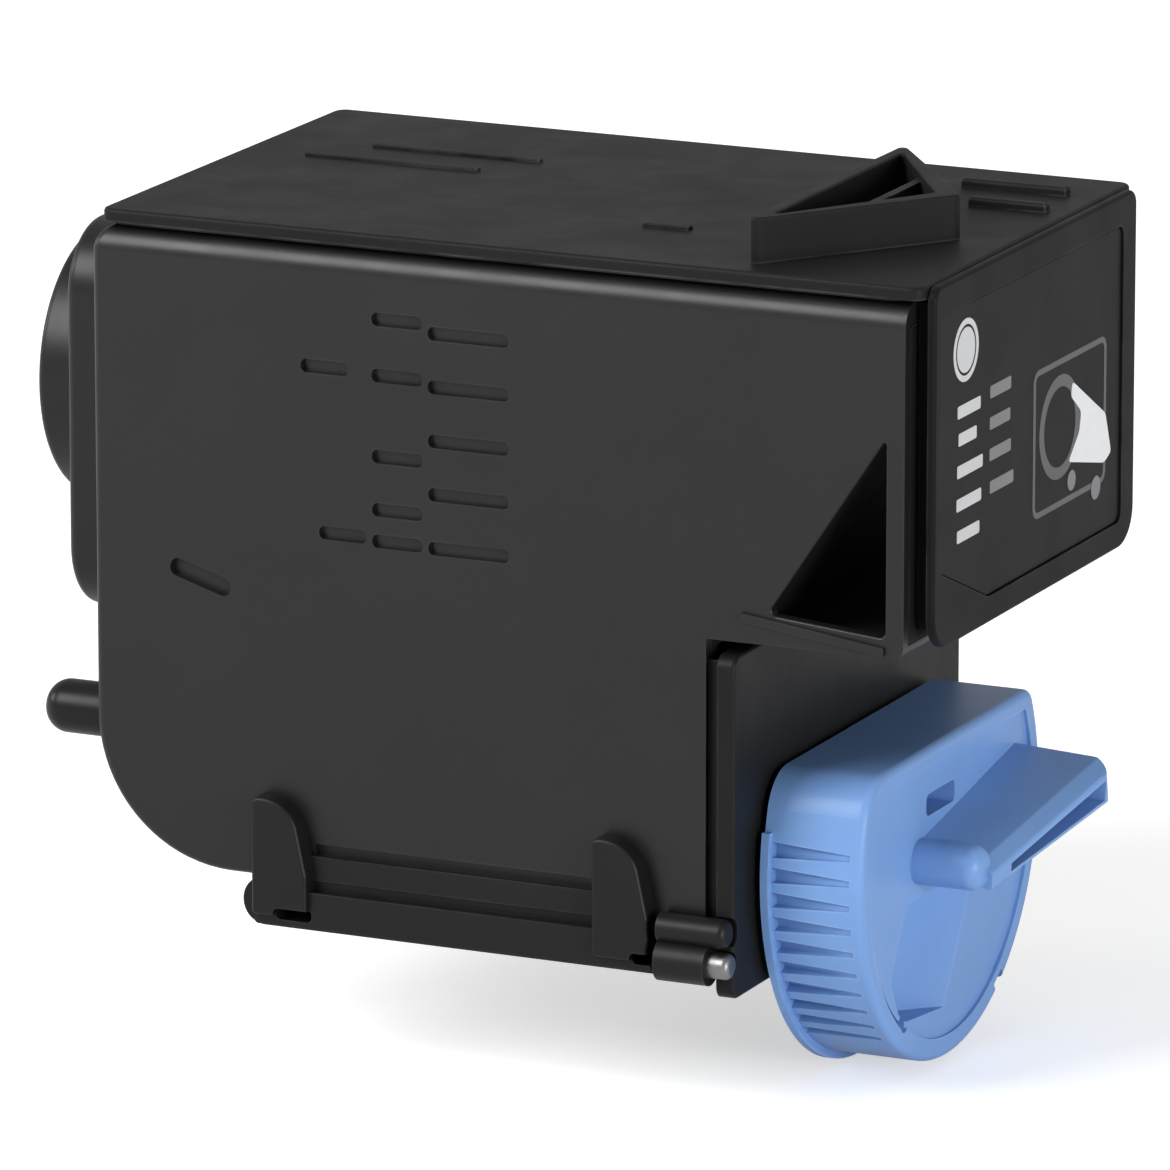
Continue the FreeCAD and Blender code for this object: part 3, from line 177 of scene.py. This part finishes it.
# Edges are painted paler, partly as wear and partly as a painted highlight, and gaps are darkened
# with painted shade.
def plastic(name, colour, worn_and_highlight_colour=edge_wear_and_highlight_black, roughness=0.5, grain_mm=0.5, depth_mm=0.03,
            wear_and_highlight=0.3, mottle=0.1, painted_gap_shade=0.5, specular=0.3):
    material = bpy.data.materials.new(name)
    material.use_nodes = True
    tree = material.node_tree
    surface = add_node(tree, "ShaderNodeGroup", node_tree=moulded)
    values = {"Colour": colour, "Wear And Highlight Colour": worn_and_highlight_colour, "Roughness": roughness,
              "Grain Size": grain_mm, "Grain Depth": depth_mm, "Wear And Highlight": wear_and_highlight, "Mottle": mottle,
              "Gap Shade": painted_gap_shade}
    for label, value in values.items():
        surface.inputs[label].default_value = value
    shader = tree.nodes["Principled BSDF"]
    shader.inputs["Specular IOR Level"].default_value = specular
    tree.links.new(surface.outputs["Colour"], shader.inputs["Base Color"])
    tree.links.new(surface.outputs["Roughness"], shader.inputs["Roughness"])
    tree.links.new(surface.outputs["Normal"], shader.inputs["Normal"])
    return material


def dress(material, *names):
    for name in names:
        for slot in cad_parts[name].material_slots:
            slot.material = material


dress(plastic("hopper_polystyrene", hopper_colour, roughness=0.36, specular=0.36), "hopper_body")


# The agitator is put in first: a ground steel shaft, a moulded hub with spokes and a bar, and a
# milky polyester film glued to the bar. It turns in two white acetal bushes, the rear one
# backed by a ring of grey felt that keeps the toner in.
paddle_colour = (0.02, 0.02, 0.0205, 1)
acetal_colour = (0.70, 0.69, 0.64, 1)
acetal_rubbed = (0.78, 0.77, 0.73, 1)
steel_colour = (0.58, 0.58, 0.575, 1)
film_colour = (0.55, 0.56, 0.54, 1)
felt_colour = (0.26, 0.255, 0.24, 1)
lines_per_m = 900.0
line_squeeze = 0.02
line_depth = 0.02 * mm
cloud_scale = 160.0

# Turned metal: fine lines round the X axis that alter the gloss, and slow shade changes.
turned_metal, taken, given = new_group(
    "turned_metal",
    [("Colour", "NodeSocketColor", steel_colour), ("Roughness", "NodeSocketFloat", 0.25)],
    [("Colour", "NodeSocketColor"), ("Roughness", "NodeSocketFloat"),
     ("Normal", "NodeSocketVector")])
place = add_node(turned_metal, "ShaderNodeTexCoord").outputs["Object"]
along = add_node(turned_metal, "ShaderNodeMapping",
                 {"Vector": place, "Scale": (1.0, line_squeeze, line_squeeze)})
lines = add_node(turned_metal, "ShaderNodeTexNoise",
                 {"Vector": along.outputs[0], "Scale": lines_per_m, "Detail": 2.0})
cloud = add_node(turned_metal, "ShaderNodeTexNoise",
                 {"Vector": place, "Scale": cloud_scale, "Detail": 3.0})
tone = add_node(turned_metal, "ShaderNodeMapRange",
                {"Value": cloud.outputs["Fac"], "From Min": 0.3, "From Max": 0.7,
                 "To Min": 0.82, "To Max": 1.08})
shaded = add_node(turned_metal, "ShaderNodeVectorMath",
                  {0: taken["Colour"], "Scale": tone.outputs[0]}, operation="SCALE")
polish = add_node(turned_metal, "ShaderNodeMapRange",
                  {"Value": lines.outputs["Fac"], "From Min": 0.3, "From Max": 0.7,
                   "To Min": -0.08, "To Max": 0.1})
rough = add_node(turned_metal, "ShaderNodeMath", {0: polish.outputs[0], 1: taken["Roughness"]},
                 operation="ADD", use_clamp=True)
relief = add_node(turned_metal, "ShaderNodeBump",
                  {"Strength": 0.25, "Distance": line_depth, "Height": lines.outputs["Fac"]})
turned_metal.links.new(shaded.outputs[0], given["Colour"])
turned_metal.links.new(rough.outputs[0], given["Roughness"])
turned_metal.links.new(relief.outputs["Normal"], given["Normal"])


def metal(name, colour, roughness=0.25):
    material = bpy.data.materials.new(name)
    material.use_nodes = True
    tree = material.node_tree
    surface = add_node(tree, "ShaderNodeGroup", node_tree=turned_metal)
    surface.inputs["Colour"].default_value = colour
    surface.inputs["Roughness"].default_value = roughness
    shader = tree.nodes["Principled BSDF"]
    shader.inputs["Metallic"].default_value = 1.0
    tree.links.new(surface.outputs["Colour"], shader.inputs["Base Color"])
    tree.links.new(surface.outputs["Roughness"], shader.inputs["Roughness"])
    tree.links.new(surface.outputs["Normal"], shader.inputs["Normal"])
    return material


acetal = plastic("white_acetal", acetal_colour, acetal_rubbed, roughness=0.38, grain_mm=1.2,
                 depth_mm=0.01, wear_and_highlight=0.3, mottle=0.04, painted_gap_shade=0.35, specular=0.5)
dress(metal("ground_steel", steel_colour), "agitator_shaft")
dress(plastic("paddle_polystyrene", paddle_colour, roughness=0.5), "agitator_paddle")
dress(plastic("polyester_film", film_colour, film_colour, roughness=0.22, grain_mm=4.0,
              depth_mm=0.02, wear_and_highlight=0.0, mottle=0.06, specular=0.5), "agitator_film")
dress(acetal, "rear_bush", "front_bush")
dress(plastic("pressed_felt", felt_colour, felt_colour, roughness=0.95, grain_mm=0.3,
              depth_mm=0.25, wear_and_highlight=0.0, mottle=0.25, specular=0.1), "shaft_seal")


# The drive is added from the rear: a grey three-jaw coupling that the machine turns, its
# acetal pinion and the larger agitator gear. The black cover over them is held by four
# blackened screws.
coupling_colour = (0.26, 0.265, 0.27, 1)
coupling_rubbed = (0.36, 0.365, 0.37, 1)
cover_colour = (0.0105, 0.0105, 0.0108, 1)
screw_colour = (0.13, 0.13, 0.135, 1)
dress(plastic("coupling_plastic", coupling_colour, coupling_rubbed, roughness=0.33,
              grain_mm=1.5, depth_mm=0.01, wear_and_highlight=0.8, mottle=0.05, specular=0.5),
      "drive_coupling")
dress(acetal, "drive_pinion", "agitator_gear")
dress(plastic("cover_polystyrene", cover_colour, roughness=0.36, wear_and_highlight=0.7), "rear_gear_cover")
blackened = metal("blackened_steel", screw_colour, roughness=0.38)
dress(blackened, "cover_screws", "end_plate_screws")


# The locating pin is a plain black moulded pin with a smooth round nose, pressed into the
# rear wall. It finds a hole at the back of the machine.
pin_colour = (0.010, 0.010, 0.0103, 1)
dress(plastic("pin_plastic", pin_colour, roughness=0.34, depth_mm=0.01, specular=0.2),
      "locating_pin")


# The filling plug is a soft black stopper pushed into the far wall once the toner is in.
# Its softer material is duller than the hopper's.
plug_colour = (0.018, 0.018, 0.0184, 1)
dress(plastic("soft_stopper", plug_colour, roughness=0.7, wear_and_highlight=0.1, specular=0.3), "fill_plug")


# The lid is welded to the rim after the agitator is in. It is the same black plastic, painted a
# shade paler as painted light on its flat top, with the triangular guide moulded on it; its
# edges are painted paler still as a painted highlight.
# Painted light: the lid's paler colour stands for light on its top, and its much paler edge colour
# is a painted highlight.
lid_painted_lit_colour = (0.0135, 0.0135, 0.0138, 1)
lid_painted_edge_highlight = (0.085, 0.085, 0.087, 1)
dress(plastic("lid_polystyrene", lid_painted_lit_colour, lid_painted_edge_highlight, roughness=0.5, mottle=0.12, wear_and_highlight=0.8,
              painted_gap_shade=0.3, specular=0.1), "top_cover")


# The label panel is a flanged tray that snaps into the open front of the head. It has a satin
# finish, and the label lies in a shallow recess in it.
panel_colour = (0.011, 0.011, 0.0115, 1)
dress(plastic("panel_plastic", panel_colour, roughness=0.42, depth_mm=0.02, wear_and_highlight=0.7,
              specular=0.05), "front_panel")


# The label is a thin black printed film, glued into the panel's recess. Only plain fields of
# ink are on it: a ringed spot, two columns of short bars, and an outline with an open ring, a
# white wedge and two grey drops. Places are (y, z) in mm on the label's face.
label_colour = (0.0125, 0.0125, 0.0135, 1)
ink_white = (0.80, 0.81, 0.83, 1)
ink_pale = (0.60, 0.605, 0.615, 1)
ink_grey = (0.19, 0.19, 0.20, 1)
ink_dim = (0.095, 0.095, 0.10, 1)
ink_thickness = 0.04 * mm
label_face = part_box("front_label")[1].x
spot_centre = (-32.2, 115.7)
spot_radii = (5.7, 4.6, 4.1)
strong_bars = ((-30.6, 104.9, 10.4), (-31.2, 99.9, 8.2), (-30.0, 94.1, 11.6),
               (-30.4, 88.1, 11.2), (-30.6, 82.3, 10.2))
weak_bars = ((-16.2, 105.6, 9.6), (-16.4, 99.9, 9.4), (-16.2, 94.2, 9.8), (-15.4, 88.2, 10.8))
bar_height = 2.3
bar_rounding = 0.4
rounding_steps = 5
outline_rounding = 2.4
outline_width = 1.1
outline_corners = ((-0.9, 77.6), (33.6, 77.6), (33.6, 105.0), (-0.9, 105.0))
ring_centre = (11.6, 92.4)
ring_radii = (9.6, 7.4)
wedge_corners = ((17.4, 99.6), (33.3, 90.4), (36.2, 82.6), (32.8, 81.2), (15.8, 85.0),
                 (20.9, 89.6), (21.7, 93.2), (16.7, 97.0))
wedge_rounding = 0.9
drops_at = ((17.3, 81.3, 1.9), (28.9, 77.4, 2.2))
dress(plastic("label_film", label_colour, roughness=0.34, grain_mm=2.5, depth_mm=0.02,
              wear_and_highlight=0.0, mottle=0.08, specular=0.04), "front_label")


def printed_field(name, corners, rounding, line=None, coats=1):
    """A flat field of ink through its corners, or only a line inside its edge."""
    bpy.ops.object.select_all(action="DESELECT")
    bpy.ops.mesh.primitive_circle_add(vertices=len(corners), radius=mm, fill_type="NGON")
    field = bpy.context.object
    field.name = name
    for vertex, (y, z) in zip(field.data.vertices, corners):
        vertex.co = (label_face, y * mm, z * mm)
    bpy.ops.object.mode_set(mode="EDIT")
    bpy.ops.mesh.select_all(action="SELECT")
    if rounding:
        bpy.ops.mesh.bevel(offset=rounding * mm, segments=rounding_steps, affect="VERTICES")
        bpy.ops.mesh.select_all(action="SELECT")
    if line:
        bpy.ops.mesh.inset(thickness=line * mm, depth=0.0)
        bpy.ops.mesh.delete(type="FACE")
        bpy.ops.mesh.select_all(action="SELECT")
    lift = {"value": (coats * ink_thickness, 0, 0)}
    bpy.ops.mesh.extrude_region_move(TRANSFORM_OT_translate=lift)
    bpy.ops.mesh.select_all(action="SELECT")
    bpy.ops.mesh.normals_make_consistent(inside=False)
    bpy.ops.object.mode_set(mode="OBJECT")
    return field


def round_corners(centre, radius, count=48):
    turn = 2 * math.pi / count
    return [(centre[0] + radius * math.cos(i * turn), centre[1] + radius * math.sin(i * turn))
            for i in range(count)]


def bar_corners(y, z, length):
    return [(y - length / 2, z - bar_height / 2), (y + length / 2, z - bar_height / 2),
            (y + length / 2, z + bar_height / 2), (y - length / 2, z + bar_height / 2)]


def joined(name, fields):
    bpy.ops.object.select_all(action="DESELECT")
    for field in fields:
        field.select_set(True)
    bpy.context.view_layer.objects.active = fields[0]
    bpy.ops.object.join()
    piece = bpy.context.object
    piece.name = name
    return piece


def ink(name, colour):
    return plastic(name, colour, colour, roughness=0.4, grain_mm=2.0, depth_mm=0.005, wear_and_highlight=0.0,
                   mottle=0.05)


white_ink = ink("white_ink", ink_white)
pale_ink = ink("pale_ink", ink_pale)
grey_ink = ink("grey_ink", ink_grey)
dim_ink = ink("dim_ink", ink_dim)
outer, gap, inner = spot_radii
spot = joined("label_spot", [
    printed_field("spot_ring", round_corners(spot_centre, outer), 0, line=outer - gap),
    printed_field("spot_middle", round_corners(spot_centre, inner), 0)])
strong = joined("label_strong_bars", [
    printed_field("strong_bar", bar_corners(*bar), bar_rounding) for bar in strong_bars])
weak = joined("label_weak_bars", [
    printed_field("weak_bar", bar_corners(*bar), bar_rounding) for bar in weak_bars])
outline = printed_field("label_outline", outline_corners, outline_rounding, line=outline_width)
ring = printed_field("label_ring", round_corners(ring_centre, ring_radii[0]), 0,
                     line=ring_radii[0] - ring_radii[1])
wedge = printed_field("label_wedge", wedge_corners, wedge_rounding, coats=2)
drops = joined("label_drops", [
    printed_field("drop", round_corners((y, z), radius, 24), 0, coats=3)
    for y, z, radius in drops_at])
inks = ((spot, pale_ink), (strong, pale_ink), (weak, grey_ink), (outline, dim_ink),
        (ring, dim_ink), (wedge, white_ink), (drops, grey_ink))
for field, material in inks:
    field.data.materials.clear()
    field.data.materials.append(material)
    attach(field, "case")


# The outlet frame clips on under the hopper: a black tray whose hooked arms grip the two
# sides. The bright steel stud beside it guides the cartridge, and foam seals the outlet.
frame_colour = (0.0085, 0.0085, 0.0088, 1)
stud_colour = (0.24, 0.24, 0.237, 1)
foam_colour = (0.10, 0.10, 0.105, 1)
shutter_colour = (0.085, 0.085, 0.09, 1)
shutter_rubbed = (0.16, 0.16, 0.165, 1)
dress(plastic("frame_plastic", frame_colour, roughness=0.42, wear_and_highlight=0.4, specular=0.22),
      "outlet_frame")
dress(metal("bright_stud", stud_colour, roughness=0.4), "guide_stud")
dress(plastic("outlet_foam", foam_colour, foam_colour, roughness=0.95, grain_mm=0.35,
              depth_mm=0.3, wear_and_highlight=0.0, mottle=0.2, specular=0.1), "outlet_seal")


# The shutter slides in the tray under the foam. It is a smooth dark grey plate with a rack
# moulded along its knob end, and sliding has rubbed its edges paler.
dress(plastic("shutter_plastic", shutter_colour, shutter_rubbed, roughness=0.3, wear_and_highlight=0.8),
      "shutter_plate")


# The front end plate closes the gear space and is held by two screws. It carries the white
# bush that the knob's shaft turns in.
dress(plastic("end_plate_plastic", hopper_colour, roughness=0.44, wear_and_highlight=0.6, specular=0.14),
      "front_end_plate")
dress(acetal, "knob_bush")


# The knob is the only coloured piece, so that the user sees what to turn: a blue moulding with
# grip grooves, a scooped pocket and a wing. The acetal pinion that drives the shutter is
# screwed to its shaft.
knob_colour = (0.185, 0.348, 0.69, 1)
knob_rubbed = (0.34, 0.51, 0.81, 1)
dress(plastic("knob_plastic", knob_colour, knob_rubbed, roughness=0.36, grain_mm=0.9,
              depth_mm=0.02, wear_and_highlight=0.7, mottle=0.05, painted_gap_shade=0.15, specular=0.28), "knob")
dress(acetal, "shutter_pinion")
dress(metal("pinion_screw_steel", steel_colour, roughness=0.3), "pinion_screw")


# The studio: a pale floor just under the lowest point, soft lamps from the left, the rear, above
# and the right, and an even pale surround that the camera sees as white.
floor_gap = 0.2 * mm
floor_side = 8.0
floor_colour = (0.86, 0.86, 0.86, 1)
floor_glow = 0.56
glow_start = 0.5
glow_end = 1.6
glossy_share = 0.35
surround_light = 0.25
white = (1, 1, 1, 1)
bpy.ops.object.select_all(action="DESELECT")
bpy.ops.mesh.primitive_plane_add(size=floor_side)
floor = bpy.context.object
floor.name = "floor"
floor.location = (0, 0, cad_box[0][2] - floor_gap)
bpy.ops.object.transform_apply(location=True, rotation=True, scale=True)


def seen_share(tree):
    """1 for what the camera sees, also through glass, and a lower share in a reflection."""
    path = add_node(tree, "ShaderNodeLightPath")
    direct = add_node(tree, "ShaderNodeMath",
                      {0: path.outputs["Is Camera Ray"], 1: path.outputs["Is Transmission Ray"]},
                      operation="MAXIMUM")
    glossy = add_node(tree, "ShaderNodeMath",
                      {0: path.outputs["Is Glossy Ray"], 1: glossy_share}, operation="MULTIPLY")
    return add_node(tree, "ShaderNodeMath", {0: direct.outputs[0], 1: glossy.outputs[0]},
                    operation="MAXIMUM").outputs[0]


# Under the object the paper glows only in part, so that the shadow stays; further away it is
# white. From underneath it is clear.
floor_material = bpy.data.materials.new("floor_paper")
floor_material.use_nodes = True
tree = floor_material.node_tree
shader = tree.nodes["Principled BSDF"]
shader.inputs["Base Color"].default_value = floor_colour
shader.inputs["Roughness"].default_value = 0.9
shader.inputs["Specular IOR Level"].default_value = 0.1
shader.inputs["Emission Color"].default_value = white
away = add_node(tree, "ShaderNodeVectorMath",
                {0: add_node(tree, "ShaderNodeTexCoord").outputs["Object"]}, operation="LENGTH")
glow = add_node(tree, "ShaderNodeMapRange",
                {"Value": away.outputs["Value"], "From Min": glow_start, "From Max": glow_end,
                 "To Min": floor_glow, "To Max": 1.0})
emitted = add_node(tree, "ShaderNodeMath", {0: seen_share(tree), 1: glow.outputs[0]},
                   operation="MULTIPLY")
tree.links.new(emitted.outputs[0], shader.inputs["Emission Strength"])
below = add_node(tree, "ShaderNodeNewGeometry").outputs["Backfacing"]
clear = add_node(tree, "ShaderNodeBsdfTransparent").outputs[0]
sided = add_node(tree, "ShaderNodeMixShader", {0: below, 1: shader.outputs[0], 2: clear})
tree.links.new(sided.outputs[0], tree.nodes["Material Output"].inputs["Surface"])
floor.data.materials.append(floor_material)

surround = bpy.data.worlds.new("surround")
surround.use_nodes = True
bpy.context.scene.world = surround
tree = surround.node_tree
backdrop = tree.nodes["Background"]
backdrop.inputs["Color"].default_value = white
strength = add_node(tree, "ShaderNodeMapRange",
                    {"Value": seen_share(tree), "To Min": surround_light, "To Max": 1.0})
tree.links.new(strength.outputs[0], backdrop.inputs["Strength"])

# Each lamp is a square: its place and side in mm, and its power in watts.
lamps = (("key_lamp", (-1100, -1560, 1500), 1200, 43.0),
         ("rear_lamp", (-1900, -350, 700), 500, 7.5),
         ("top_lamp", (-100, 500, 1900), 900, 2.0),
         ("fill_lamp", (2050, -950, 250), 900, 35.0))
for name, place_mm, side_mm, power in lamps:
    lamp_data = bpy.data.lights.new(name, "AREA")
    lamp_data.size = side_mm * mm
    lamp_data.energy = power
    lamp = bpy.data.objects.new(name, lamp_data)
    lamp.location = Vector(place_mm) * mm
    lamp.rotation_euler = (camera_target - lamp.location).to_track_quat("-Z", "Y").to_euler()
    bpy.context.scene.collection.objects.link(lamp)

bpy.context.scene.view_settings.view_transform = "Standard"
